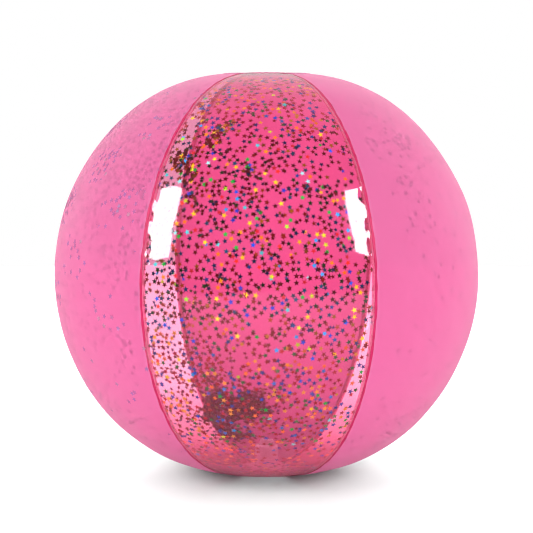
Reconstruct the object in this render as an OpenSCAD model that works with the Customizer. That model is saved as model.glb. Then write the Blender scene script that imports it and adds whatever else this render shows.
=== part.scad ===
// Inflatable beach ball with star confetti inside.
// Six welded gores, clear and pink in turn, with a round patch over each pole.
// The push-in valve sits in the bottom pole, pushed in and plugged.
// Origin: centre of the resting face on the floor. +Z runs up through both poles.
// The middle of the front clear gore faces -Y.

/* [Ball] */
// Diameter of the inflated ball round its middle
ball_d = 400; // [300:5:500]
// How far the film's top lies below a full round ball
top_sink = 11.2; // [8:0.2:16]
// How far the film's bottom lies above a full round ball
bottom_sink = 13.6; // [8:0.2:18]
// Diameter of the flat at each pole
flat_d = 60; // [50:1:70]
// Thickness of the vinyl film
film_t = 0.3; // [0.2:0.05:0.5]

/* [Seams and patches] */
// Width of the welded lap between two gores, at the ball's middle
lap_w = 4; // [3:0.5:6]
// Diameter of the round patch over each pole
patch_d = 84; // [80:1:100]
// Diameter of the opening that the cut gore tips leave at each pole
tip_d = 48; // [46:0.5:49]

/* [Valve] */
// Outer diameter of the folded sleeve that holds the stem
web_d = 22; // [20:0.5:24]
// Height of the folded sleeve above the patch
web_h = 22; // [18:0.5:23]
// Wall of the folded sleeve
web_t = 0.8; // [0.5:0.1:1]
// Outer diameter of the flange that is welded to the patch
flange_d = 44; // [36:1:45]
// Thickness of that flange
flange_t = 0.9; // [0.6:0.1:1.5]
// Outer diameter of the stem's tube
stem_d = 12.8; // [12:0.1:13.4]
// Bore of the stem
bore_d = 8.6; // [7:0.1:9]
// Outer diameter of the lip at the stem's mouth
lip_d = 16; // [15:0.5:17]
// Length of the stem
stem_l = 24.3; // [23.8:0.1:27]

/* [Plug and flap] */
// Diameter of the plug's head
head_d = 14; // [12:0.5:15]
// Thickness of the plug's head
head_t = 1.2; // [0.8:0.1:1.3]
// How far the tapered peg reaches into the bore
peg_l = 6.5; // [4:0.1:7]
// Diameter of the peg at its inner end
peg_tip_d = 4.9; // [4:0.1:5]
// Diameter of the leaf that closes the stem's inner end
flap_d = 11.6; // [10.5:0.1:12]
// Thickness of that leaf
flap_t = 0.8; // [0.5:0.1:1.2]

/* [Confetti] */
// Size of a star from tip to tip
star_d = 5; // [2.5:0.1:6]
// Thickness of the star foil
star_t = 0.1; // [0.05:0.01:0.2]
// Number of stars of each foil colour
stars_each = 48; // [12:1:80]

/* [Hidden] */
$fn = 96;

GORES = 6;
gore_angle = 360 / GORES;
CLEAR = [0.98, 0.80, 0.88, 0.35];
PINK = [0.96, 0.42, 0.67];
VALVE = [0.93, 0.62, 0.74, 0.8];

// The meridian: a round side about the ball's centre, a tighter shoulder arc at each end
// that runs tangent into it, and a flat at each pole.
ball_r = ball_d / 2;
flat_r = flat_d / 2;
patch_r = patch_d / 2;
tip_r = tip_d / 2;
middle_z = film_t + ball_r - bottom_sink;
function shoulder_r(sink) = (2 * ball_r * sink - sink * sink - flat_r * flat_r) / (2 * sink);
function shoulder_rise(sink) = ball_r - sink - shoulder_r(sink);
function shoulder_angle(sink) = atan(shoulder_rise(sink) / flat_r);
top_angle = shoulder_angle(top_sink);
bottom_angle = shoulder_angle(bottom_sink);
reach = 2 * ball_r;

// Valve heights above the floor
mouth_gap = 0.1;
head_z = 0.4;
mouth_z = head_z + head_t + mouth_gap;
lip_t = 1.5;
inner_end_z = mouth_z + stem_l;
web_r = web_d / 2;
hole_r = web_r - web_t;
web_corner_r = 3;
web_gap = 0.05;
bore_r = bore_d / 2;
bore_gap = 0.05;
flap_gap = 0.05;
flap_hinge_x = 6.2;
hinge_strip_w = 4;
ledge_h = 1.6;
ledge_out = 1;
pull_tab_x = 9.2;
pull_tab_w = 6;
peg_round_r = 1.2;
strap_w = 4;
strap_t = 0.6;
strap_x = -8.4;
strap_z = mouth_z - mouth_gap / 2;
strap_r = 0.95;

// Confetti: the stars of all foils follow one spiral, which stops short of both poles
foils = 6;
star_points = 5;
star_inner = 0.5;
star_gap = 0.25;
star_span = 0.9;
star_seed = 11;
golden_turn = 137.508;

// A pie slice from the origin between two angles, wide enough to cut any arc here
module slice(low, high) {
    polygon([[0, 0],
        [reach * cos(low), reach * sin(low)],
        [reach * cos(high), reach * sin(high)]]);
}

// A band of one arc: centre, outer radius, thickness and the angles it runs between
module arc_band(centre, radius, t, low, high) {
    translate(centre) intersection() {
        difference() {
            circle(r = radius);
            circle(r = radius - t);
        }
        slice(low, high);
    }
}

// The shoulder and flat at the upper end of the meridian, from the flat's inner radius out
module pole_band(sink, inset, t, from_r) {
    rise = shoulder_rise(sink);
    radius = shoulder_r(sink);
    arc_band([flat_r, rise], radius - inset, t, shoulder_angle(sink), 90);
    translate([from_r, rise + radius - inset - t]) square([flat_r - from_r, t]);
}

// Half section of one layer of film, from the gore tips at one pole to those at the other
module film_section(inset, t) {
    arc_band([0, 0], ball_r - inset, t, -bottom_angle, top_angle);
    pole_band(top_sink, inset, t, tip_r);
    mirror([0, 1]) pole_band(bottom_sink, inset, t, tip_r);
}

// One gore, its middle at the given place round the ball
module gore(place, with_laps) {
    lap_angle = lap_w / ball_r * 180 / PI;
    translate([0, 0, middle_z]) rotate([0, 0, -90 + place * gore_angle]) {
        rotate_extrude(angle = gore_angle, start = -gore_angle / 2) film_section(0, film_t);
        if (with_laps) for (side = [-1, 1])
            rotate_extrude(angle = 2 * lap_angle, start = side * gore_angle / 2 - lap_angle)
                film_section(film_t, film_t);
    }
}

module panel_clear_front() { color(CLEAR) gore(0, false); }
module panel_pink_right() { color(PINK) gore(1, true); }
module panel_clear_rear_right() { color(CLEAR) gore(2, false); }
module panel_pink_rear() { color(PINK) gore(3, true); }
module panel_clear_rear_left() { color(CLEAR) gore(4, false); }
module panel_pink_left() { color(PINK) gore(5, true); }

// Half section of a patch that lies on the outside of the film at a pole
module patch_section(sink, from_r) {
    intersection() {
        pole_band(sink, -film_t, film_t, from_r);
        square([patch_r, reach]);
    }
}

module top_patch() {
    color(PINK) translate([0, 0, middle_z])
        rotate_extrude() patch_section(top_sink, 0);
}

module valve_patch() {
    color(PINK) translate([0, 0, middle_z])
        rotate_extrude() mirror([0, 1]) patch_section(bottom_sink, hole_r);
}

module valve_flange() {
    color(VALVE) translate([0, 0, film_t]) difference() {
        cylinder(d = flange_d, h = flange_t);
        translate([0, 0, -1]) cylinder(r = web_r, h = flange_t + 2);
    }
}

// A cup turned upside down round the stem, which it holds near the stem's inner end
module valve_web() {
    top_inner_r = stem_d / 2 + web_gap;
    straight_h = web_h - web_corner_r;
    color(VALVE) translate([0, 0, film_t]) rotate_extrude() {
        translate([hole_r, 0]) square([web_t, straight_h]);
        arc_band([web_r - web_corner_r, straight_h], web_corner_r, web_t, 0, 90);
        translate([top_inner_r, web_h - web_t])
            square([web_r - web_corner_r - top_inner_r, web_t]);
    }
}

module valve_stem() {
    color(VALVE) difference() {
        union() {
            translate([0, 0, mouth_z]) cylinder(d = stem_d, h = stem_l);
            translate([0, 0, mouth_z]) cylinder(d = lip_d, h = lip_t);
            translate([bore_r + 1, -hinge_strip_w / 2, inner_end_z - ledge_h])
                cube([stem_d / 2 + ledge_out - bore_r - 1, hinge_strip_w, ledge_h]);
        }
        translate([0, 0, mouth_z - 1]) cylinder(r = bore_r, h = stem_l + 2);
    }
}

module check_flap() {
    color(VALVE) translate([0, 0, inner_end_z + flap_gap]) {
        cylinder(d = flap_d, h = flap_t);
        translate([0, -hinge_strip_w / 2, 0]) cube([flap_hinge_x, hinge_strip_w, flap_t]);
    }
}

module valve_plug() {
    peg_r = bore_r - bore_gap;
    straight_l = peg_l - peg_round_r;
    peg_tip_r = peg_tip_d / 2;
    color(VALVE) translate([0, 0, head_z]) {
        cylinder(d = head_d, h = head_t);
        translate([0, -pull_tab_w / 2, 0]) cube([pull_tab_x - pull_tab_w / 2, pull_tab_w, head_t]);
        translate([pull_tab_x - pull_tab_w / 2, 0, 0]) cylinder(d = pull_tab_w, h = head_t);
        translate([0, 0, head_t]) rotate_extrude() {
            polygon([[0, 0], [peg_r, 0], [peg_tip_r, straight_l], [0, straight_l]]);
            translate([0, straight_l]) square([peg_tip_r - peg_round_r, peg_round_r]);
            translate([peg_tip_r - peg_round_r, straight_l]) intersection() {
                circle(r = peg_round_r);
                square(peg_round_r);
            }
        }
    }
}

// A loop of strap beside the mouth: one leg on the lip's edge, the other on the head's
module plug_strap() {
    leg_gap = 0.05;
    lip_edge = -lip_d / 2 - leg_gap;
    head_edge = -head_d / 2 - leg_gap;
    color(VALVE) translate([0, strap_w / 2, 0]) rotate([90, 0, 0]) linear_extrude(strap_w) {
        translate([strap_x, strap_z]) intersection() {
            difference() {
                circle(r = strap_r);
                circle(r = strap_r - strap_t);
            }
            translate([-strap_r, -strap_r]) square([strap_r, 2 * strap_r]);
        }
        translate([strap_x, strap_z + strap_r - strap_t]) square([lip_edge - strap_x, strap_t]);
        translate([strap_x, strap_z - strap_r]) square([head_edge - strap_x, strap_t]);
    }
}

// Where a piece lies against the inside of the film: [distance from the axis, height],
// for the latitude at which the film faces
function film_spot(latitude, inset) =
    latitude > top_angle
        ? [flat_r + (shoulder_r(top_sink) - inset) * cos(latitude),
           middle_z + shoulder_rise(top_sink) + (shoulder_r(top_sink) - inset) * sin(latitude)]
    : latitude < -bottom_angle
        ? [flat_r + (shoulder_r(bottom_sink) - inset) * cos(latitude),
           middle_z - shoulder_rise(bottom_sink) + (shoulder_r(bottom_sink) - inset) * sin(latitude)]
    : [(ball_r - inset) * cos(latitude), middle_z + (ball_r - inset) * sin(latitude)];

module star() {
    half_turn = 180 / star_points;
    linear_extrude(star_t) polygon([for (i = [0:2 * star_points - 1])
        star_d / 2 * (i % 2 == 0 ? 1 : star_inner) * [cos(half_turn * i), sin(half_turn * i)]]);
}

// One foil's stars, which take turns with the other foils along the spiral
module stars(shade, first) {
    total = foils * stars_each;
    turn = rands(0, 360 / star_points, stars_each, star_seed + first);
    inset = 2 * film_t + star_gap + star_t;
    color(shade) for (k = [0:stars_each - 1]) {
        i = foils * k + first;
        latitude = asin(1 - 2 * (i + 0.5) / total) * star_span;
        around = i * golden_turn;
        spot = film_spot(latitude, inset);
        translate([spot[0] * cos(around), spot[0] * sin(around), spot[1]])
            rotate([0, 90 - latitude, around]) rotate([0, 0, turn[k]]) star();
    }
}

module stars_maroon() { stars([0.35, 0.05, 0.12], 0); }
module stars_green() { stars([0.10, 0.35, 0.18], 1); }
module stars_navy() { stars([0.15, 0.17, 0.45], 2); }
module stars_blue() { stars([0.10, 0.45, 0.80], 3); }
module stars_gold() { stars([0.90, 0.68, 0.15], 4); }
module stars_orange() { stars([0.92, 0.35, 0.15], 5); }

panel_clear_front();
panel_pink_right();
panel_clear_rear_right();
panel_pink_rear();
panel_clear_rear_left();
panel_pink_left();
top_patch();
valve_patch();
valve_flange();
valve_web();
valve_stem();
check_flap();
valve_plug();
plug_strap();
stars_maroon();
stars_green();
stars_navy();
stars_blue();
stars_gold();
stars_orange();
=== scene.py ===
"""The looks of the inflatable beach ball: puckered gores, welded seams, valve and star confetti."""

import math

import bpy
import numpy as np
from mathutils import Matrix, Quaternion, Vector


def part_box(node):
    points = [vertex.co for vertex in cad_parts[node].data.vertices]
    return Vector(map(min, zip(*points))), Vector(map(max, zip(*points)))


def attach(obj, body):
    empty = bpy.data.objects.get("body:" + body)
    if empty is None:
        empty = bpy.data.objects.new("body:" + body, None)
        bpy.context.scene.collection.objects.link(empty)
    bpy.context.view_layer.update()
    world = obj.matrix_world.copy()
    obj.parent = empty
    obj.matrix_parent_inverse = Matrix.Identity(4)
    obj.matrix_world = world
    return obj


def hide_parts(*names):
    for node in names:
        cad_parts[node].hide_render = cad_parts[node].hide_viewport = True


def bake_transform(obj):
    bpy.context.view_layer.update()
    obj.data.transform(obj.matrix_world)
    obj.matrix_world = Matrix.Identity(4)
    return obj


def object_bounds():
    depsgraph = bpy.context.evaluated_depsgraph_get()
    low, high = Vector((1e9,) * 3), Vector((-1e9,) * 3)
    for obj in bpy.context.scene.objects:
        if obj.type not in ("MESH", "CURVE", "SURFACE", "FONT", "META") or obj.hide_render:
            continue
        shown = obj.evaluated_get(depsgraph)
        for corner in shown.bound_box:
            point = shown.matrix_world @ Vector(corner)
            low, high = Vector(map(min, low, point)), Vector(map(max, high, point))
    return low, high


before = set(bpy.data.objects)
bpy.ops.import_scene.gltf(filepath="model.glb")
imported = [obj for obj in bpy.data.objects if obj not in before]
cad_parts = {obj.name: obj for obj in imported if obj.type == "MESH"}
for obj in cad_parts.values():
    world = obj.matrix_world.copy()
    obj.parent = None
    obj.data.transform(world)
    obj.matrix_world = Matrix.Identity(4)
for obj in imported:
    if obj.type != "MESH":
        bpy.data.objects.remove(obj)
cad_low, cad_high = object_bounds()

# ---------------------------------------------------------------- sizes, in metres
MM = 0.001
DEG = math.pi / 180
GORES = 6
GORE_ANGLE = 2 * math.pi / GORES

front_low, front_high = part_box("panel_clear_front")
BALL_R = -front_low.y
FILM_T = front_low.z  # the valve patch lies under the film, and both are as thick
FLAT_R = 30 * MM
BOTTOM_SINK = 13.6 * MM
TOP_SINK = 2 * BALL_R - (front_high.z - front_low.z) - BOTTOM_SINK
MIDDLE_Z = front_low.z + BALL_R - BOTTOM_SINK
TIP_R = 24 * MM
PATCH_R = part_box("top_patch")[1].x
PATCH_GAP = 0.02 * MM
CAP_R = 1.0 * MM
LAP_W = 4.2 * MM
LAP_GAP = 0.03 * MM

web_low, web_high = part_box("valve_web")
WEB_R = web_high.x
WEB_WALL = 0.8 * MM
WEB_CORNER = 3 * MM
HOLE_R = WEB_R - WEB_WALL
STEM_R = 6.4 * MM
STEM_GAP = 0.05 * MM

STAR_R = 2.83 * MM
STAR_INNER = 0.40
STAR_T = 0.06 * MM


# ---------------------------------------------------------------- the film's shape
def shoulder(sink):
    """Radius, rise above the middle and start angle of the arc that runs into a pole's flat."""
    radius = (2 * BALL_R * sink - sink**2 - FLAT_R**2) / (2 * sink)
    rise = BALL_R - sink - radius
    return radius, rise, math.atan2(rise, FLAT_R)


LOW_R, LOW_RISE, LOW_ANGLE = shoulder(BOTTOM_SINK)
HIGH_R, HIGH_RISE, HIGH_ANGLE = shoulder(TOP_SINK)
LEGS = np.cumsum([
    FLAT_R,
    LOW_R * (math.pi / 2 - LOW_ANGLE),
    BALL_R * (LOW_ANGLE + HIGH_ANGLE),
    HIGH_R * (math.pi / 2 - HIGH_ANGLE),
    FLAT_R,
])
LENGTH = LEGS[-1]


def meridian(s):
    """Radius, height and facing latitude of the film's outer face; s runs up from the bottom pole."""
    s = np.asarray(s, float)
    where = [s < LEGS[0], s < LEGS[1], s < LEGS[2], s < LEGS[3]]
    latitude = np.select(where, [
        -math.pi / 2,
        -math.pi / 2 + (s - LEGS[0]) / LOW_R,
        -LOW_ANGLE + (s - LEGS[1]) / BALL_R,
        HIGH_ANGLE + (s - LEGS[2]) / HIGH_R,
    ], math.pi / 2)
    c, n = np.cos(latitude), np.sin(latitude)
    radius = np.select(where, [s, FLAT_R + LOW_R * c, BALL_R * c, FLAT_R + HIGH_R * c], LENGTH - s)
    height = np.select(where, [
        -(BALL_R - BOTTOM_SINK) + 0 * s,
        -LOW_RISE + LOW_R * n,
        BALL_R * n,
        HIGH_RISE + HIGH_R * n,
    ], BALL_R - TOP_SINK)
    return radius, MIDDLE_Z + height, latitude


def arc_length(latitude):
    """The arc length from the bottom pole at which the film faces a latitude."""
    return np.select(
        [latitude < -LOW_ANGLE, latitude < HIGH_ANGLE],
        [LEGS[0] + (latitude + math.pi / 2) * LOW_R, LEGS[1] + (latitude + LOW_ANGLE) * BALL_R],
        LEGS[2] + (latitude - HIGH_ANGLE) * HIGH_R)


def ease(x, low, high):
    """0 below low, 1 above high, and smooth between."""
    t = np.clip((x - low) / (high - low), 0, 1)
    return t * t * (3 - 2 * t)


relief_rng = np.random.default_rng(11)
PUCKERS = [(9 * MM, 0.07 * MM), (14 * MM, 0.14 * MM), (23 * MM, 0.20 * MM), (41 * MM, 0.22 * MM)]
PUCKER_PHASE = relief_rng.uniform(0, 2 * math.pi, (GORES, 2, len(PUCKERS) + 2))
SWELLS = [(120 * MM, 0.35 * MM), (85 * MM, 0.22 * MM), (60 * MM, 0.10 * MM)]
SWELL_PHASE = relief_rng.uniform(0, 2 * math.pi, (len(SWELLS), 2))
PLEATS = [(30, 0.10 * MM), (42, 0.08 * MM), (54, 0.06 * MM)]
PLEAT_PHASE = relief_rng.uniform(0, 2 * math.pi, len(PLEATS))
GROOVE = 0.7 * MM
RIDGE = 0.16 * MM


def seam_place(s, around):
    """Number of the nearest seam, and the signed distance from it round the film."""
    turns = (around + math.pi / 2) / GORE_ANGLE - 0.5
    seam = np.round(turns).astype(int)
    radius = meridian(s)[0]
    return seam % GORES, (turns - seam) * GORE_ANGLE * radius


def relief(s, around):
    """How far the film stands out from its plain meridian: seam puckers, swells, pleats at the poles."""
    s, around = np.broadcast_arrays(np.asarray(s, float), np.asarray(around, float))
    seam, across = seam_place(s, around)
    side = (across > 0).astype(int)
    away = np.abs(across)
    phase = PUCKER_PHASE[seam, side]
    shared = PUCKER_PHASE[seam, 0]
    mix = ease(away, 0, 9 * MM)
    pucker = np.zeros_like(s)
    for j, (length, height) in enumerate(PUCKERS):
        slant = 2 * math.pi * (s + 0.45 * away) / length
        wave = (1 - mix) * np.sin(slant + shared[..., j]) + mix * np.sin(slant + phase[..., j])
        pucker += height * wave
    gust = 0.62 + 0.38 * np.sin(2 * math.pi * s / (170 * MM) + phase[..., -1])
    radius, _, latitude = meridian(s)
    near_pole = 1 - 0.4 * np.sin(latitude) ** 4
    out = pucker * gust * near_pole * np.exp(-away / (7 * MM))
    out -= GROOVE * np.exp(-away / (4.5 * MM))
    out += RIDGE * (0.55 + gust * np.sin(2 * math.pi * s / (21 * MM) + phase[..., -2])) \
        * np.exp(-((away - 2.4 * MM) / (1.1 * MM))**2)
    for (length, height), phases in zip(SWELLS, SWELL_PHASE):
        out += height * np.sin(2 * math.pi * s / length + phases[0]) \
            * np.cos(2 * math.pi * BALL_R * around / (1.3 * length) + phases[1]) * np.cos(latitude)
    for (count, height), start in zip(PLEATS, PLEAT_PHASE):
        out += height * np.cos(count * around + start) * np.exp(-np.abs(radius - PATCH_R) / (16 * MM))
    return out * ease(s, 34 * MM, 80 * MM) * ease(LENGTH - s, 20 * MM, 48 * MM)


def film_point(s, around, out):
    """Points at a distance out from the film's relieved outer face, as an array with x, y, z last."""
    s, around, out = np.broadcast_arrays(*(np.asarray(a, float) for a in (s, around, out)))
    radius, height, latitude = meridian(s)
    stand = relief(s, around) + out
    reach = radius + stand * np.cos(latitude)
    return np.stack([
        reach * np.cos(around), reach * np.sin(around), height + stand * np.sin(latitude)
    ], -1)


# ---------------------------------------------------------------- mesh helpers
def make_mesh(name, points, faces, smooth=True):
    """An object in the scene with these points and faces."""
    mesh = bpy.data.meshes.new(name)
    mesh.from_pydata(np.asarray(points).reshape(-1, 3).tolist(), [], faces)
    mesh.validate()
    mesh.polygons.foreach_set("use_smooth", [smooth] * len(mesh.polygons))
    mesh.update()
    piece = bpy.data.objects.new(name, mesh)
    bpy.context.scene.collection.objects.link(piece)
    return piece


def grid_faces(rows, columns, first=0, flip=False, wrap=False):
    """Quads over a grid of points numbered row by row."""
    last = columns if wrap else columns - 1
    row, column = np.meshgrid(np.arange(rows - 1), np.arange(last), indexing="ij")
    following = (column + 1) % columns
    a, b = row * columns + column, row * columns + following
    c, d = (row + 1) * columns + following, (row + 1) * columns + column
    order = (a, d, c, b) if flip else (a, b, c, d)
    return (np.stack(order, -1).reshape(-1, 4) + first).tolist()


def shell(outer, inner):
    """Points and faces of a closed thin sheet between two grids of the same size."""
    rows, columns = outer.shape[:2]
    count = rows * columns
    faces = grid_faces(rows, columns) + grid_faces(rows, columns, count, flip=True)
    rim = list(range(columns))
    rim += [r * columns + columns - 1 for r in range(1, rows)]
    rim += [(rows - 1) * columns + i for i in range(columns - 2, -1, -1)]
    rim += [r * columns for r in range(rows - 2, 0, -1)]
    for i, a in enumerate(rim):
        b = rim[(i + 1) % len(rim)]
        faces.append([b, a, a + count, b + count])
    return np.concatenate([outer.reshape(-1, 3), inner.reshape(-1, 3)]), faces


def ring_shell(outer, inner, open_middle):
    """The same for closed rings; the first ring is a hole's edge or gets a small cap."""
    rows, columns = outer.shape[:2]
    count = rows * columns
    faces = grid_faces(rows, columns, wrap=True)
    faces += grid_faces(rows, columns, count, flip=True, wrap=True)
    last = (rows - 1) * columns
    for i in range(columns):
        j = (i + 1) % columns
        faces.append([last + i, last + j, last + j + count, last + i + count])
        if open_middle:
            faces.append([j, i, i + count, j + count])
    if not open_middle:
        faces.append(list(range(columns - 1, -1, -1)))
        faces.append([count + i for i in range(columns)])
    return np.concatenate([outer.reshape(-1, 3), inner.reshape(-1, 3)]), faces


def lathe(profile, wobble, columns=96):
    """Points and faces of a closed ring whose section is a closed loop of (radius, height)."""
    loop = np.asarray(profile, float)
    around = np.linspace(0, 2 * math.pi, columns, endpoint=False)
    around = around[:, None]
    height = loop[:, 1][None, :]
    radius = loop[:, 0][None, :] + wobble(around, height)
    height = np.broadcast_to(height, radius.shape)
    points = np.stack([radius * np.cos(around), radius * np.sin(around), height], -1)
    steps = len(loop)
    faces = []
    for i in range(columns):
        for j in range(steps):
            i2, j2 = (i + 1) % columns, (j + 1) % steps
            faces.append([i * steps + j, i2 * steps + j, i2 * steps + j2, i * steps + j2])
    return points, faces


def paint_seam_distance(piece):
    """Keeps on each point how far it lies from the nearest seam, for the film's materials."""
    points = np.empty(len(piece.data.vertices) * 3)
    piece.data.vertices.foreach_get("co", points)
    points = points.reshape(-1, 3)
    around = np.arctan2(points[:, 1], points[:, 0])
    rise = points[:, 2] - MIDDLE_Z
    s = arc_length(np.arctan2(rise, np.hypot(points[:, 0], points[:, 1])))
    away = np.abs(seam_place(s, around)[1])
    attribute = piece.data.attributes.new("seam_distance", "FLOAT", "POINT")
    attribute.data.foreach_set("value", away.astype(np.float32))


# ---------------------------------------------------------------- materials
def new_material(name):
    """An empty node material, its tree and its output node."""
    material = bpy.data.materials.new(name)
    material.use_nodes = True
    tree = material.node_tree
    tree.nodes.clear()
    output = tree.nodes.new("ShaderNodeOutputMaterial")
    return material, tree, output


def node(tree, kind, **values):
    """A new node, with its properties or its named inputs set."""
    made = tree.nodes.new(kind)
    for key, value in values.items():
        if hasattr(made, key):
            setattr(made, key, value)
        else:
            made.inputs[key.replace("_", " ")].default_value = value
    return made


def link(tree, source, target):
    tree.links.new(source, target)


def noise(tree, scale, detail=3.0, roughness=0.55):
    """Noise fixed to the object, about 1 / scale metres from lump to lump."""
    place = node(tree, "ShaderNodeTexCoord")
    made = node(tree, "ShaderNodeTexNoise", Scale=scale, Detail=detail, Roughness=roughness)
    link(tree, place.outputs["Object"], made.inputs["Vector"])
    return made.outputs["Fac"]


def stretch(tree, value, from_low, from_high, to_low, to_high):
    """The value with one range mapped onto another, and held at its ends."""
    made = node(tree, "ShaderNodeMapRange",
                From_Min=from_low, From_Max=from_high, To_Min=to_low, To_Max=to_high)
    link(tree, value, made.inputs["Value"])
    return made.outputs["Result"]


def blend_colours(tree, share, first, second):
    """A mix of two colours, each a tuple or another node's output."""
    made = node(tree, "ShaderNodeMix", data_type="RGBA")
    link(tree, share, made.inputs[0])
    for socket, colour in ((made.inputs[6], first), (made.inputs[7], second)):
        if isinstance(colour, tuple):
            socket.default_value = (*colour, 1)
        else:
            link(tree, colour, socket)
    return made.outputs[2]


def bump(tree, height, strength, distance):
    """A normal that follows small relief."""
    made = node(tree, "ShaderNodeBump", Strength=strength, Distance=distance)
    link(tree, height, made.inputs["Height"])
    return made.outputs["Normal"]


def seam_distance(tree):
    """The distance from the nearest seam that paint_seam_distance keeps on the mesh."""
    return node(tree, "ShaderNodeAttribute", attribute_name="seam_distance").outputs["Fac"]


def mix_shaders(tree, share, first, second):
    """The first shader with a share of the second, a number or another node's output."""
    made = node(tree, "ShaderNodeMixShader")
    if isinstance(share, float):
        made.inputs[0].default_value = share
    else:
        link(tree, share, made.inputs[0])
    link(tree, first, made.inputs[1])
    link(tree, second, made.inputs[2])
    return made.outputs[0]


def soften_bounce(tree, look, plain):
    """The look itself, and a plain paler shader for light that bounces onto the white floor."""
    path = node(tree, "ShaderNodeLightPath")
    return mix_shaders(tree, path.outputs["Is Diffuse Ray"], look, plain)


def clear_film_material():
    """Clear glossy vinyl with a pink cast, a trace of haze, and a cloudier welded edge."""
    material, tree, output = new_material("clear_film")
    tint = blend_colours(tree, stretch(tree, noise(tree, 14.0, 2.0), 0.3, 0.7, 0, 1),
                         (0.980, 0.750, 0.838), (0.970, 0.727, 0.822))
    # Seen edge on, light has a longer way through the film, so its colour deepens
    slant = node(tree, "ShaderNodeLayerWeight", Blend=0.5)
    steep = node(tree, "ShaderNodeMath", operation="POWER")
    link(tree, slant.outputs["Facing"], steep.inputs[0])
    steep.inputs[1].default_value = 6.0
    deepened = blend_colours(tree, steep.outputs[0], tint, (1.0, 0.30, 0.52))
    # The film is drawn thicker, and is pinker, where the gores close in on the bottom pole
    height = node(tree, "ShaderNodeSeparateXYZ")
    link(tree, node(tree, "ShaderNodeTexCoord").outputs["Object"], height.inputs[0])
    low_down = stretch(tree, height.outputs["Z"], 0.004, 0.070, 0.85, 0.0)
    deepened = blend_colours(tree, low_down, deepened, (1.0, 0.52, 0.66))
    clear = node(tree, "ShaderNodeBsdfTransparent")
    link(tree, deepened, clear.inputs["Color"])
    cloud = node(tree, "ShaderNodeBsdfDiffuse", Color=(0.95, 0.62, 0.78, 1), Roughness=0.5)
    haze = stretch(tree, noise(tree, 55.0, 4.0), 0.35, 0.75, 0.001, 0.006)
    welded = stretch(tree, seam_distance(tree), 0.001, 0.005, 0.06, 0.0)
    cloudy = node(tree, "ShaderNodeMath", operation="ADD")
    link(tree, haze, cloudy.inputs[0])
    link(tree, welded, cloudy.inputs[1])
    body = mix_shaders(tree, cloudy.outputs[0], clear.outputs[0], cloud.outputs[0])
    # Light catches the gathers there
    gathered = stretch(tree, height.outputs["Z"], 0.004, 0.060, 0.27, 0.0)
    folds = node(tree, "ShaderNodeBsdfDiffuse", Color=(0.97, 0.13, 0.30, 1), Roughness=0.5)
    body = mix_shaders(tree, gathered, body, folds.outputs[0])
    shine = node(tree, "ShaderNodeBsdfAnisotropic", Color=(1, 1, 1, 1), Roughness=0.07)
    normal = bump(tree, noise(tree, 160.0, 2.0), 0.04, 0.0006)
    link(tree, normal, shine.inputs["Normal"])
    fresnel = node(tree, "ShaderNodeFresnel")
    side = node(tree, "ShaderNodeNewGeometry").outputs["Backfacing"]
    link(tree, stretch(tree, side, 0, 1, FILM_IOR, 1 / FILM_IOR), fresnel.inputs["IOR"])
    link(tree, normal, fresnel.inputs["Normal"])
    mirror = node(tree, "ShaderNodeMath", operation="MINIMUM")
    link(tree, fresnel.outputs[0], mirror.inputs[0])
    mirror.inputs[1].default_value = 0.5
    look = mix_shaders(tree, mirror.outputs[0], body, shine.outputs[0])
    plain = node(tree, "ShaderNodeBsdfTransparent")
    near_floor = stretch(tree, height.outputs["Z"], 0.002, 0.030, 0.0, 1.0)
    dimmed = blend_colours(tree, near_floor, (0.575, 0.60, 0.602), (0.865, 0.88, 0.88))
    link(tree, dimmed, plain.inputs["Color"])
    soft = soften_bounce(tree, look, plain.outputs[0])
    # The film's own shadow is grey and weak, and darkest close to the floor
    path = node(tree, "ShaderNodeLightPath")
    through = mix_shaders(tree, path.outputs["Is Shadow Ray"], soft, plain.outputs[0])
    link(tree, through, output.inputs["Surface"])
    return material


def pink_film_material(name, shades, glowing, see_through, seam_highlight, sheen):
    """Satin pink vinyl with a painted highlight along its seams; shares of it glow with the light behind
    and let the stars show faintly.
    """
    material, tree, output = new_material(name)
    mottle = stretch(tree, noise(tree, 22.0, 4.0), 0.3, 0.7, 0, 1)
    base = blend_colours(tree, mottle, *shades)
    # Painted highlight: near each seam the pink is blended towards a paler pink, standing in for light
    # on the film's bulge there
    edge = stretch(tree, seam_distance(tree), 0.0010, 0.0040, seam_highlight, 0.0)
    base = blend_colours(tree, edge, base, (0.90, 0.36, 0.64))
    vinyl = node(tree, "ShaderNodeBsdfPrincipled", Roughness=0.5)
    vinyl.inputs["IOR"].default_value = 1.48
    vinyl.inputs["Specular IOR Level"].default_value = 0.35
    vinyl.inputs["Sheen Weight"].default_value = sheen
    vinyl.inputs["Sheen Roughness"].default_value = 0.5
    link(tree, base, vinyl.inputs["Base Color"])
    grain = node(tree, "ShaderNodeMath", operation="ADD")
    link(tree, stretch(tree, noise(tree, 900.0, 2.0), 0, 1, 0, 0.35), grain.inputs[0])
    link(tree, noise(tree, 120.0, 3.0), grain.inputs[1])
    normal = bump(tree, grain.outputs[0], 0.12, 0.0006)
    link(tree, normal, vinyl.inputs["Normal"])
    glow = node(tree, "ShaderNodeBsdfTranslucent", Color=(1.0, 0.25, 0.50, 1))
    body = mix_shaders(tree, glowing, vinyl.outputs[0], glow.outputs[0])
    clear = node(tree, "ShaderNodeBsdfTransparent", Color=(1.0, 0.35, 0.62, 1))
    look = mix_shaders(tree, see_through, body, clear.outputs[0])
    pale = node(tree, "ShaderNodeBsdfDiffuse", Color=(0.56, 0.53, 0.54, 1))
    faint = node(tree, "ShaderNodeBsdfTransparent", Color=(0.9, 0.85, 0.87, 1))
    plain = mix_shaders(tree, 0.15, pale.outputs[0], faint.outputs[0])
    link(tree, soften_bounce(tree, look, plain), output.inputs["Surface"])
    return material


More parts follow.
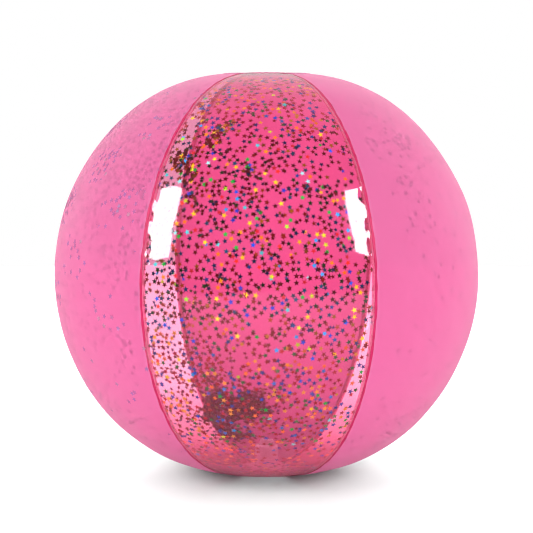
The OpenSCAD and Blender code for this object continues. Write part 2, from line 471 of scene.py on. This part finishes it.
def weld_material():
    """The crimson line where two films are melted together, pressed with fine cross ridges."""
    material, tree, output = new_material("seam_weld")
    base = blend_colours(tree, stretch(tree, noise(tree, 240.0, 3.0), 0.3, 0.7, 0, 1),
                         (0.36, 0.003, 0.055), (0.50, 0.010, 0.095))
    vinyl = node(tree, "ShaderNodeBsdfPrincipled", Roughness=0.4)
    vinyl.inputs["Specular IOR Level"].default_value = 0.2
    link(tree, base, vinyl.inputs["Base Color"])
    link(tree, bump(tree, noise(tree, 700.0, 2.0), 0.35, 0.0004), vinyl.inputs["Normal"])
    link(tree, vinyl.outputs[0], output.inputs["Surface"])
    return material


def lap_material():
    """The pink film's inner edge, seen through the clear film that it is welded to."""
    material, tree, output = new_material("film_lap")
    base = blend_colours(tree, stretch(tree, noise(tree, 260.0, 3.0), 0.3, 0.7, 0, 1),
                         (0.70, 0.07, 0.19), (0.78, 0.12, 0.27))
    vinyl = node(tree, "ShaderNodeBsdfPrincipled", Roughness=0.45)
    vinyl.inputs["Specular IOR Level"].default_value = 0.2
    link(tree, base, vinyl.inputs["Base Color"])
    link(tree, bump(tree, noise(tree, 600.0, 2.0), 0.2, 0.0004), vinyl.inputs["Normal"])
    # Past the weld the flap lies loose and thin, and more of what is behind it shows
    clear = node(tree, "ShaderNodeBsdfTransparent", Color=(1.0, 0.62, 0.78, 1))
    thin = stretch(tree, seam_distance(tree), 0.0016, 0.0030, 0.05, 0.75)
    link(tree, mix_shaders(tree, thin, vinyl.outputs[0], clear.outputs[0]), output.inputs["Surface"])
    return material


def valve_material():
    """Soft, slightly milky pink vinyl moulding."""
    material, tree, output = new_material("valve_vinyl")
    base = blend_colours(tree, stretch(tree, noise(tree, 180.0, 3.0), 0.3, 0.7, 0, 1),
                         (0.90, 0.40, 0.56), (0.95, 0.50, 0.64))
    vinyl = node(tree, "ShaderNodeBsdfPrincipled", Roughness=0.22)
    vinyl.inputs["IOR"].default_value = 1.5
    link(tree, base, vinyl.inputs["Base Color"])
    link(tree, bump(tree, noise(tree, 500.0, 2.0), 0.15, 0.0004), vinyl.inputs["Normal"])
    clear = node(tree, "ShaderNodeBsdfTransparent", Color=(1.0, 0.75, 0.85, 1))
    link(tree, mix_shaders(tree, 0.22, vinyl.outputs[0], clear.outputs[0]), output.inputs["Surface"])
    return material


def foil_material(name):
    """Thin coloured foil; each star's shade, painted reflection and glints included, is kept on its
    faces, and fine noise adds painted sparkle.
    """
    material, tree, output = new_material(name)
    shade = node(tree, "ShaderNodeAttribute", attribute_name="shade")
    # Painted sparkle: fine noise scales the shade up and down in small spots
    glint = stretch(tree, noise(tree, 1500.0, 1.0), 0.2, 0.8, 0.75, 1.15)
    base = node(tree, "ShaderNodeVectorMath", operation="SCALE")
    link(tree, shade.outputs["Color"], base.inputs[0])
    link(tree, glint, base.inputs["Scale"])
    foil = node(tree, "ShaderNodeBsdfPrincipled", Roughness=0.4)
    foil.inputs["Specular IOR Level"].default_value = 0.1
    link(tree, base.outputs[0], foil.inputs["Base Color"])
    link(tree, foil.outputs[0], output.inputs["Surface"])
    return material


def floor_material():
    """Pale card, which looks darker in reflections and throws more light back on the ball."""
    material, tree, output = new_material("floor")
    base = blend_colours(tree, noise(tree, 3.0, 2.0), (0.78, 0.78, 0.78), (0.80, 0.80, 0.80))
    card = node(tree, "ShaderNodeBsdfPrincipled", Roughness=0.7)
    card.inputs["Specular IOR Level"].default_value = 0.2
    link(tree, base, card.inputs["Base Color"])
    mirrored = node(tree, "ShaderNodeBsdfDiffuse", Color=(0.30, 0.30, 0.30, 1))
    bounced = node(tree, "ShaderNodeBsdfDiffuse", Color=(0.93, 0.93, 0.93, 1))
    path = node(tree, "ShaderNodeLightPath")
    shown = mix_shaders(tree, path.outputs["Is Glossy Ray"], card.outputs[0], mirrored.outputs[0])
    shown = mix_shaders(tree, path.outputs["Is Diffuse Ray"], shown, bounced.outputs[0])
    link(tree, shown, output.inputs["Surface"])
    return material


FILM_IOR = 1.5
CLEAR_FILM = clear_film_material()
PINK_SHADES = ((0.862, 0.186, 0.465), (0.877, 0.205, 0.489))
PATCH_SHADES = ((0.64, 0.090, 0.245), (0.68, 0.108, 0.275))
# The gores get the painted seam highlight; the patches get none
PINK_FILM = pink_film_material("pink_film", PINK_SHADES, 0.6, 0.26, 0.6, 0.4)
PATCH_FILM = pink_film_material("patch_film", PATCH_SHADES, 0.35, 0.08, 0.0, 0.08)
WELD = weld_material()
LAP = lap_material()
VALVE = valve_material()


# ---------------------------------------------------------------- gores, seams and patches
ROWS = 280
ALONG = np.linspace(TIP_R, LENGTH - TIP_R, ROWS)
ACROSS = np.linspace(-1, 1, 81)
ACROSS = 1.44 * ACROSS - 0.44 * ACROSS**3  # closer together near the seams


def gore_middle(place):
    """The azimuth of a gore's middle line; the front one faces -Y."""
    return -math.pi / 2 + place * GORE_ANGLE


def make_gore(name, place, pink):
    """One gore of the film; a pink one has a lap inside each neighbouring clear one."""
    around = gore_middle(place) + GORE_ANGLE / 2 * ACROSS
    outer = film_point(ALONG[:, None], around[None, :], 0)
    inner = film_point(ALONG[:, None], around[None, :], -FILM_T)
    points, faces = shell(outer, inner)
    skin_faces = len(faces)
    if pink:
        for side in (-1, 1):
            seam = gore_middle(place) + side * GORE_ANGLE / 2
            radius = meridian(ALONG)[0]
            steps = np.linspace(-0.5 * MM, LAP_W, 6)
            lap_around = seam + side * steps[None, :] / radius[:, None]
            high = film_point(ALONG[:, None], lap_around, -FILM_T - LAP_GAP)
            low = film_point(ALONG[:, None], lap_around, -2 * FILM_T - LAP_GAP)
            more, more_faces = shell(high, low) if side > 0 else shell(high[:, ::-1], low[:, ::-1])
            faces += [[i + len(points) for i in face] for face in more_faces]
            points = np.concatenate([points, more])
    piece = make_mesh(name + "_film", points, faces)
    paint_seam_distance(piece)
    piece.data.materials.append(PINK_FILM if pink else CLEAR_FILM)
    if pink:
        piece.data.materials.append(LAP)
        for polygon in piece.data.polygons[skin_faces:]:
            polygon.material_index = 1
    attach(piece, "ball")
    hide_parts(name)
    return piece


GORE_NAMES = (
    "panel_clear_front", "panel_pink_right", "panel_clear_rear_right",
    "panel_pink_rear", "panel_clear_rear_left", "panel_pink_left",
)
for place, name in enumerate(GORE_NAMES):
    make_gore(name, place, place % 2 == 1)

BEAD_HALF = 1.2 * MM
BEAD_H = 0.25 * MM


def make_seam(number):
    """The weld bead between gore number and the next: a low ridge outside and inside the film."""
    radius = meridian(ALONG)[0]
    middle = gore_middle(number) + GORE_ANGLE / 2
    width_noise = 1 + 0.12 * np.sin(ALONG / (3.1 * MM) + number)
    width_noise += 0.10 * np.sin(ALONG / (7.7 * MM) + 2 * number)
    turn = np.linspace(0, 2 * math.pi, 12, endpoint=False)
    offset = BEAD_HALF * np.cos(turn)[None, :] * width_noise[:, None]
    out = np.where(np.sin(turn) > 0, BEAD_H, 0.9 * FILM_T) * np.sin(turn)
    ring = film_point(ALONG[:, None], middle + offset / radius[:, None], out)
    faces = grid_faces(ROWS, len(turn), wrap=True)
    faces.append(list(range(len(turn) - 1, -1, -1)))
    faces.append([(ROWS - 1) * len(turn) + i for i in range(len(turn))])
    piece = make_mesh("seam_weld_%d" % (number + 1), ring, faces)
    piece.data.materials.append(WELD)
    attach(piece, "ball")


for number in range(GORES):
    make_seam(number)


def make_patch(name, at_top, from_r):
    """A round film patch outside the gore tips; the top one has pressed weld rings near its edge."""
    radius = np.concatenate([
        np.linspace(from_r, FLAT_R, 14)[:-1],
        np.linspace(FLAT_R, PATCH_R, 48),
    ])
    around = np.linspace(0, 2 * math.pi, 192, endpoint=False)
    pole_r = HIGH_R if at_top else LOW_R
    curved = FLAT_R + pole_r * np.arcsin(np.clip((radius - FLAT_R) / pole_r, 0, 1))
    s = np.where(radius <= FLAT_R, radius, curved)
    s = LENGTH - s if at_top else s
    ridges = 0.06 * MM * (1 + np.sin(2 * math.pi * radius / (1.5 * MM)))
    ridges *= ease(radius, PATCH_R - 8 * MM, PATCH_R - 6.5 * MM)
    ridges *= ease(PATCH_R - radius, 0.4 * MM, 1.4 * MM)
    # The ball stands on the valve patch, so its outer face stays flat
    height = FILM_T + ridges if at_top else FILM_T + 0 * ridges
    outer = film_point(s[:, None], around[None, :], height[:, None])
    inner = film_point(s[:, None], around[None, :], PATCH_GAP)
    points, faces = ring_shell(outer, inner, from_r > CAP_R)
    piece = make_mesh(name + "_film", points, faces)
    piece.data.materials.append(PATCH_FILM)
    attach(piece, "ball")
    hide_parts(name)


make_patch("top_patch", True, CAP_R)
make_patch("valve_patch", False, WEB_R)


# ---------------------------------------------------------------- valve
def make_web():
    """The folded sleeve that turns inside out when the stem is popped: a cup with shallow folds."""
    low, high = web_low.z, web_high.z
    angles = np.linspace(0, math.pi / 2, 9)
    rim_r = STEM_R + STEM_GAP

    def corner(radius, turns):
        """The sleeve's rounded shoulder."""
        middle_r, middle_z = WEB_R - WEB_CORNER, high - WEB_CORNER
        return [(middle_r + radius * math.cos(a), middle_z + radius * math.sin(a)) for a in turns]

    outside = [(WEB_R, z) for z in np.linspace(low, high - WEB_CORNER, 16)]
    outside += corner(WEB_CORNER, angles[1:])
    outside += [(rim_r, high)]
    inside = [(rim_r, high - WEB_WALL)]
    inside += corner(WEB_CORNER - WEB_WALL, angles[::-1])
    inside += [(HOLE_R, z) for z in np.linspace(high - WEB_CORNER, low, 16)[1:]]

    def folds(around, height):
        rise = (height - low) / (high - low)
        return 0.22 * MM * np.sin(5 * around + 3 * rise) * np.sin(math.pi * np.clip(rise, 0, 1)) ** 2

    points, faces = lathe(outside + inside, folds)
    piece = make_mesh("valve_web_skin", points, faces)
    piece.data.materials.append(VALVE)
    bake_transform(piece)
    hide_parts("valve_web")


LIP_X = -8.05 * MM
STRAP_X = -8.4 * MM


def make_strap():
    """A rounded ribbon that loops from the stem's lip to the plug's head."""
    low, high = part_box("plug_strap")
    middle_z = (low.z + high.z) / 2
    half_t, half_w = 0.3 * MM, (high.y - low.y) / 2
    loop_r = (high.z - low.z) / 2 - half_t
    turns = np.linspace(0, math.pi, 17)
    path = [(LIP_X, middle_z + loop_r)]
    path += [(STRAP_X - loop_r * math.sin(a), middle_z + loop_r * math.cos(a)) for a in turns]
    path += [(high.x, middle_z - loop_r)]
    path = np.array(path)
    along = np.gradient(path, axis=0)
    along /= np.linalg.norm(along, axis=1)[:, None]
    across = np.stack([-along[:, 1], along[:, 0]], -1)
    turn = np.linspace(0, 2 * math.pi, 16, endpoint=False)
    flat = np.sign(np.cos(turn)) * np.abs(np.cos(turn)) ** 0.4 * half_w
    thick = np.sign(np.sin(turn)) * np.abs(np.sin(turn)) ** 0.4 * half_t
    points = np.empty((len(path), len(turn), 3))
    points[..., 0] = path[:, 0][:, None] + across[:, 0][:, None] * thick[None, :]
    points[..., 2] = path[:, 1][:, None] + across[:, 1][:, None] * thick[None, :]
    points[..., 1] = flat[None, :]
    faces = grid_faces(len(path), len(turn), wrap=True)
    faces.append(list(range(len(turn) - 1, -1, -1)))
    faces.append([(len(path) - 1) * len(turn) + i for i in range(len(turn))])
    piece = make_mesh("plug_strap_ribbon", points, faces)
    piece.data.materials.append(VALVE)
    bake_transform(piece)
    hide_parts("plug_strap")


make_web()
make_strap()
for name in ("valve_flange", "valve_stem", "check_flap", "valve_plug"):
    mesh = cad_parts[name].data
    mesh.materials.clear()
    mesh.materials.append(VALVE)


# ---------------------------------------------------------------- confetti
FOILS = {
    # node: share of all stars, chance of a painted glint, own colour in even light,
    # then the shades of dark stars (painted reflection of dim surroundings) and of painted glints as
    # (weight, red, green, blue)
    "stars_maroon": (
        0.39, 0.06, (0.42, 0.013, 0.03),
        [(5, 0.09, 0.002, 0.003), (5, 0.14, 0.004, 0.004), (1, 0.06, 0.010, 0.015)],
        [(1, 0.60, 0.03, 0.04)]),
    "stars_green": (
        0.14, 0.16, (0.08, 0.19, 0.05),
        [(5, 0.004, 0.026, 0.004), (4, 0.012, 0.050, 0.008)],
        [(3, 0.015, 0.70, 0.06), (1, 0.35, 1.2, 0.02)]),
    "stars_navy": (
        0.16, 0.08, (0.08, 0.06, 0.32),
        [(4, 0.005, 0.014, 0.06), (4, 0.004, 0.032, 0.09), (2, 0.012, 0.07, 0.12)],
        [(1, 0.03, 0.07, 0.7)]),
    "stars_blue": (
        0.07, 0.50, (0.06, 0.20, 0.60),
        [(2, 0.01, 0.06, 0.25), (1, 0.01, 0.10, 0.17)],
        [(3, 0.01, 0.15, 1.0), (2, 0.03, 0.55, 1.1), (2, 0.08, 1.0, 0.9), (1, 0.35, 1.3, 1.1)]),
    "stars_gold": (
        0.13, 0.36, (0.85, 0.38, 0.05),
        [(4, 0.17, 0.06, 0.002), (2, 0.30, 0.12, 0.006)],
        [(5, 1.3, 1.0, 0.02), (2, 1.2, 0.5, 0.01), (2, 0.7, 1.1, 0.03)]),
    "stars_orange": (
        0.11, 0.22, (0.95, 0.22, 0.04),
        [(3, 0.22, 0.01, 0.005), (2, 0.30, 0.05, 0.01)],
        [(1, 0.95, 0.05, 0.02), (3, 1.1, 0.30, 0.01)]),
}
HEAP_SHADE = np.array([0.36, 0.050, 0.100])
PRESSED_SHADE = np.array([0.30, 0.09, 0.23])

star_rng = np.random.default_rng(2024)


def random_waves(count, shortest, longest):
    """Random plane waves whose sum is a lumpy field, for clumps and gaps among the stars."""
    direction = star_rng.normal(size=(count, 3))
    direction /= np.linalg.norm(direction, axis=1)[:, None]
    length = star_rng.uniform(shortest, longest, count)
    return direction * (2 * math.pi / length)[:, None], star_rng.uniform(0, 2 * math.pi, count)


CLUMPS = random_waves(40, 18 * MM, 60 * MM)
CLUMPING = 0.36


def clump(points):
    """The lumpy field at some points: 0 on average, about 1 either way."""
    waves, phases = CLUMPS
    return np.cos(points @ waves.T + phases).sum(1) / math.sqrt(len(phases) / 2)


def bell(around, latitude, middle, spread):
    """1 at the middle (azimuth, latitude in degrees), falling off with the spread."""
    turn = (around / DEG - middle[0] + 180) % 360 - 180
    rise = latitude / DEG - middle[1]
    return np.exp(-0.5 * ((turn / spread[0]) ** 2 + (rise / spread[1]) ** 2))


# Stars per square metre on each gore, front clear gore first
GORE_DENSITY = (61000, 1300, 2600, 4000, 5500, 4800)
# Denser and thinner spots: middle (azimuth, latitude), spread, stars per square metre
SPOTS = (
    ((-113, 36), (9, 15), 16000),
    ((-96, 42), (22, 9), 30000),
    ((-80, 22), (10, 9), 14000),
    ((-64, 38), (6, 20), -34000),
    ((-90, -78), (70, 12), -30000),
    ((-162, 30), (13, 14), 30000),
    ((-135, 28), (10, 14), 26000),
    ((-160, 52), (18, 11), 34000),
    ((-165, -10), (12, 20), 4000),
    ((-42, 40), (12, 14), 10000),
    ((-38, -45), (12, 8), 6000),
    ((110, -55), (12, 10), 360000),
    ((125, -32), (8, 13), 40000),
    ((0, -76), (900, 8), 4000),
)


def gore_number(around):
    """The number of the gore at an azimuth, front clear gore 0."""
    return np.floor(((around + math.pi / 2) / GORE_ANGLE + 0.5) % GORES).astype(int)


def density(points, around, latitude):
    """Stars per square metre that are wanted at some points."""
    level = np.array(GORE_DENSITY)[gore_number(around)].astype(float)
    for middle, spread, height in SPOTS:
        level = level + height * bell(around, latitude, middle, spread)
    return level * np.clip(1 + CLUMPING * clump(points), 0.1, 2.5)


STAR_GAP = 4.0 * MM
OVERLAP = 0.08  # share of the stars that may lie over others
CROWDED = 130000  # stars per square metre from which they lie in layers
MOST_STARS = 240000


def spread_out(points, crowded):
    """Which stars stay when each keeps its distance from those before it, unless crowded."""
    cells = {}
    keep = np.zeros(len(points), bool)
    alone = star_rng.uniform(size=len(points)) > OVERLAP
    numbers = np.floor(points / STAR_GAP).astype(int).tolist()
    for i, (point, cell) in enumerate(zip(points, numbers)):
        if alone[i] and not crowded[i]:
            near = [q for a in (-1, 0, 1) for b in (-1, 0, 1) for c in (-1, 0, 1)
                    for q in cells.get((cell[0] + a, cell[1] + b, cell[2] + c), ())]
            if near and np.min(np.sum((np.array(near) - point) ** 2, 1)) < STAR_GAP**2:
                continue
        cells.setdefault(tuple(cell), []).append(point)
        keep[i] = True
    return keep


def scatter():
    """Places of the loose stars on the film: arc length, azimuth and latitude."""
    area = 4 * math.pi * BALL_R**2
    tries = int(MOST_STARS * area)
    latitude = np.arcsin(star_rng.uniform(-0.985, 0.97, tries))
    around = star_rng.uniform(-math.pi, math.pi, tries)
    s = arc_length(latitude)
    points = film_point(s, around, 0)
    wanted = density(points, around, latitude)
    keep = star_rng.uniform(0, MOST_STARS, tries) < wanted
    s, around, latitude, points, wanted = (a[keep] for a in (s, around, latitude, points, wanted))
    keep = spread_out(points, wanted > CROWDED)
    return s[keep], around[keep], latitude[keep]


star_angles = np.arange(10) * math.pi / 5
star_reach = STAR_R * np.where(np.arange(10) % 2 == 0, 1, STAR_INNER)
STAR_LOOP = star_reach[:, None] * np.stack([np.cos(star_angles), np.sin(star_angles)], -1)
HEAP = ((112, -48), (24, 18))  # middle and spread of the heap, azimuth and latitude
HEAP_DEPTH = 9 * MM


def make_stars():
    """Places every star on or above the film's inner face, and makes one piece for each foil."""
    s, around, latitude = scatter()
    count = len(s)
    heap = bell(around, latitude, *HEAP)
    depth = 2 * FILM_T + 0.12 * MM + star_rng.exponential(0.22 * MM, count)
    depth += heap * star_rng.uniform(0, HEAP_DEPTH, count)
    # Round the bottom pole they lie on the flange and the folds
    depth = np.where(s < 70 * MM, depth + 0.5 * MM, depth)
    # Stars that cling to the pink films beside the front one are pressed into the soft vinyl
    place = gore_number(around)
    pressed = (place == 1) | (place == 5)
    depth = np.where(pressed, FILM_T / 2, depth)
    centre = film_point(s, around, -depth)
    facing = meridian(s)[2]
    normal = np.stack([
        np.cos(facing) * np.cos(around), np.cos(facing) * np.sin(around), np.sin(facing)
    ], -1)
    lean = np.where(pressed, 0, 0.05 + 0.30 * heap)
    normal = normal + star_rng.normal(size=(count, 3)) * lean[:, None]
    normal /= np.linalg.norm(normal, axis=1)[:, None]
    helper = np.where(np.abs(normal[:, 2:3]) < 0.9, np.array([[0, 0, 1.0]]), np.array([[1.0, 0, 0]]))
    right = np.cross(helper, normal)
    right /= np.linalg.norm(right, axis=1)[:, None]
    up = np.cross(normal, right)
    spin = star_rng.uniform(0, 2 * math.pi, count)
    c, n = np.cos(spin)[:, None], np.sin(spin)[:, None]
    right, up = right * c + up * n, up * c - right * n
    size = star_rng.normal(1, 0.04, count)
    flat = STAR_LOOP[None, :, 0, None] * right[:, None, :]
    flat = flat + STAR_LOOP[None, :, 1, None] * up[:, None, :]
    flat = flat * size[:, None, None] + centre[:, None, :]
    top = flat + normal[:, None, :] * STAR_T / 2
    low = flat - normal[:, None, :] * STAR_T / 2
    names = list(FOILS)
    shares = np.array([FOILS[name][0] for name in names])
    kind = star_rng.choice(len(names), count, p=shares / shares.sum())
    # Painted reflection: foil that faces the floor or the ceiling is given its own colour, as if lit by
    # them; in between it is painted dark, or painted with a glint
    lit = 0.95 * ease(-latitude, -2 * DEG, 27 * DEG) + 0.8 * ease(latitude, 36 * DEG, 54 * DEG)
    for number, name in enumerate(names):
        chosen = kind == number
        colours = foil_shades(name, lit[chosen], heap[chosen])
        faint = pressed[chosen]
        colours[faint] = PRESSED_SHADE + 0.2 * np.minimum(colours[faint], 0.3)
        make_star_group(name, top[chosen], low[chosen], colours)


def foil_shades(name, lit, heap):
    """A colour for each star of one foil: a painted dark reflection, its own in even light, or a painted
    glint.
    """
    _, chance, own, painted_dark_shades, painted_glint_shades = FOILS[name]
    count = len(lit)

    def pick(shades):
        """One of the shades for each star, at random by weight."""
        weights = np.array([shade[0] for shade in shades], float)
        colours = np.array([shade[1:] for shade in shades])
        return colours[star_rng.choice(len(shades), count, p=weights / weights.sum())]

    level = star_rng.uniform(0.75, 1.25, (count, 1))
    lit, heap = lit[:, None], heap[:, None]
    # Painted reflection and painted glints, set by which way the foil faces
    dull = pick(painted_dark_shades) * (1 - lit) + np.array(own) * lit
    vivid = pick(painted_glint_shades) * (1 - 0.4 * lit)
    glint = star_rng.uniform(size=(count, 1)) < chance * (1 - 0.4 * lit)
    colours = np.where(glint, vivid, dull) * level
    return colours + (HEAP_SHADE - colours) * 0.85 * np.clip(heap * 1.6, 0, 1)


def make_star_group(name, top, low, colours):
    """All stars of one foil as thin closed plates, each with its own colour, painted reflection or glint
    included.
    """
    count = len(top)
    points = np.concatenate([top, low], 1).reshape(-1, 3)
    faces = []
    for first in range(0, 20 * count, 20):
        faces.append([first + j for j in range(10)])
        faces.append([first + 19 - j for j in range(10)])
        for j in range(10):
            a, b = first + j, first + (j + 1) % 10
            faces.append([b, a, a + 10, b + 10])
    piece = make_mesh(name + "_flakes", points, faces, smooth=False)
    colours = np.concatenate([colours, np.ones((count, 1))], 1)
    attribute = piece.data.attributes.new("shade", "FLOAT_COLOR", "POINT")
    attribute.data.foreach_set("color", np.repeat(colours, 20, axis=0).astype(np.float32).ravel())
    piece.data.materials.append(foil_material("foil_" + name.split("_")[1]))
    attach(piece, "ball")
    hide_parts(name)


make_stars()


# ---------------------------------------------------------------- floor, lights and camera
FLOOR_R = 2.2


def make_floor():
    """A round floor just below the ball."""
    turn = np.linspace(0, 2 * math.pi, 128, endpoint=False)
    ring = np.stack([FLOOR_R * np.cos(turn), FLOOR_R * np.sin(turn), 0 * turn], -1)
    floor = make_mesh("floor", ring, [list(range(len(turn)))])
    floor.location.z = cad_low[2] - 0.2 * MM
    floor.data.materials.append(floor_material())


CAMERA_TURN = 2.3 * DEG
CAMERA_RISE = 5.4 * DEG
CAMERA_AWAY = 7.79 * BALL_R
CAMERA_AIM_UP = 6.6 * MM
LENS = 110.6
CENTRE = Vector((0, 0, MIDDLE_Z))


def towards(turn, rise):
    """Unit vector from the ball at an azimuth from the front and a height above level."""
    return Vector((math.sin(turn) * math.cos(rise), -math.cos(turn) * math.cos(rise), math.sin(rise)))


def make_camera():
    """The camera, a little right of the front and slightly above the ball's middle."""
    data = bpy.data.cameras.new("camera")
    data.lens = LENS
    data.sensor_width = 36
    camera = bpy.data.objects.new("camera", data)
    bpy.context.scene.collection.objects.link(camera)
    camera.location = CENTRE + CAMERA_AWAY * towards(CAMERA_TURN, CAMERA_RISE)
    aim = CENTRE + Vector((0, 0, CAMERA_AIM_UP))
    camera.rotation_euler = (aim - camera.location).to_track_quat("-Z", "Y").to_euler()
    bpy.context.scene.camera = camera


def make_softbox(name, turn, rise, away, width, height, roll, power):
    """A rectangular lamp that faces the ball and that the camera doesn't see."""
    data = bpy.data.lights.new(name, "AREA")
    data.shape = "RECTANGLE"
    data.size, data.size_y = width, height
    data.energy = power
    lamp = bpy.data.objects.new(name, data)
    bpy.context.scene.collection.objects.link(lamp)
    lamp.visible_camera = False
    lamp.location = CENTRE + away * towards(turn, rise)
    aim = (CENTRE - lamp.location).to_track_quat("-Z", "Y")
    lamp.rotation_euler = (aim @ Quaternion((0, 0, 1), roll)).to_euler()
    return lamp


WINDOW_AWAY = 1.6
GLARE = 1.5  # how much brighter a window is in reflections than in the light it gives


def make_window(side, turn, rise, width, height, roll, power):
    """Two lamps, one just in front of the other: one lights the film, one shows in its gloss."""
    turn += CAMERA_TURN
    box = make_softbox("softbox_" + side, turn, rise, WINDOW_AWAY, width, height, roll, power)
    box.visible_glossy = False
    away = WINDOW_AWAY - 0.01
    glare = make_softbox("glare_" + side, turn, rise, away, width, height, roll, GLARE * power)
    glare.visible_diffuse = False


def make_fill():
    """A large low lamp beside the camera that shows in no reflection."""
    fill = make_softbox("fill", CAMERA_TURN, 8 * DEG, 2.4, 2.4, 0.9, 0, 5)
    fill.visible_glossy = False


def make_world():
    """Lights most from behind the ball, is plain white to look at, and dim in front in reflections."""
    world = bpy.data.worlds.new("studio")
    world.use_nodes = True
    tree = world.node_tree
    backdrop = tree.nodes["Background"]
    backdrop.inputs["Color"].default_value = (1, 1, 1, 1)
    direction = node(tree, "ShaderNodeTexCoord").outputs["Generated"]
    parts = node(tree, "ShaderNodeSeparateXYZ")
    link(tree, direction, parts.inputs[0])
    lit = stretch(tree, parts.outputs["Y"], 0.0, 0.8, 1.02, 4.9)
    mirrored = stretch(tree, parts.outputs["Y"], -0.1, 0.9, 0.10, 0.8)
    path = node(tree, "ShaderNodeLightPath")
    strength = node(tree, "ShaderNodeMix")
    link(tree, path.outputs["Is Glossy Ray"], strength.inputs[0])
    link(tree, lit, strength.inputs[2])
    link(tree, mirrored, strength.inputs[3])
    seen = node(tree, "ShaderNodeMix")
    link(tree, path.outputs["Is Camera Ray"], seen.inputs[0])
    link(tree, strength.outputs[0], seen.inputs[2])
    seen.inputs[3].default_value = 1.0
    link(tree, seen.outputs[0], backdrop.inputs["Strength"])
    bpy.context.scene.world = world


make_floor()
make_camera()
make_window("left", -59.6 * DEG, 24.6 * DEG, 0.40, 0.80, 13.5 * DEG, 10)
make_window("right", 53.0 * DEG, 26.8 * DEG, 0.30, 0.76, -12.5 * DEG, 8)
make_fill()
make_world()
bpy.context.scene.view_settings.view_transform = "Standard"
bpy.context.scene.cycles.transparent_max_bounces = 32
bpy.context.scene.cycles.filter_width = 1.1
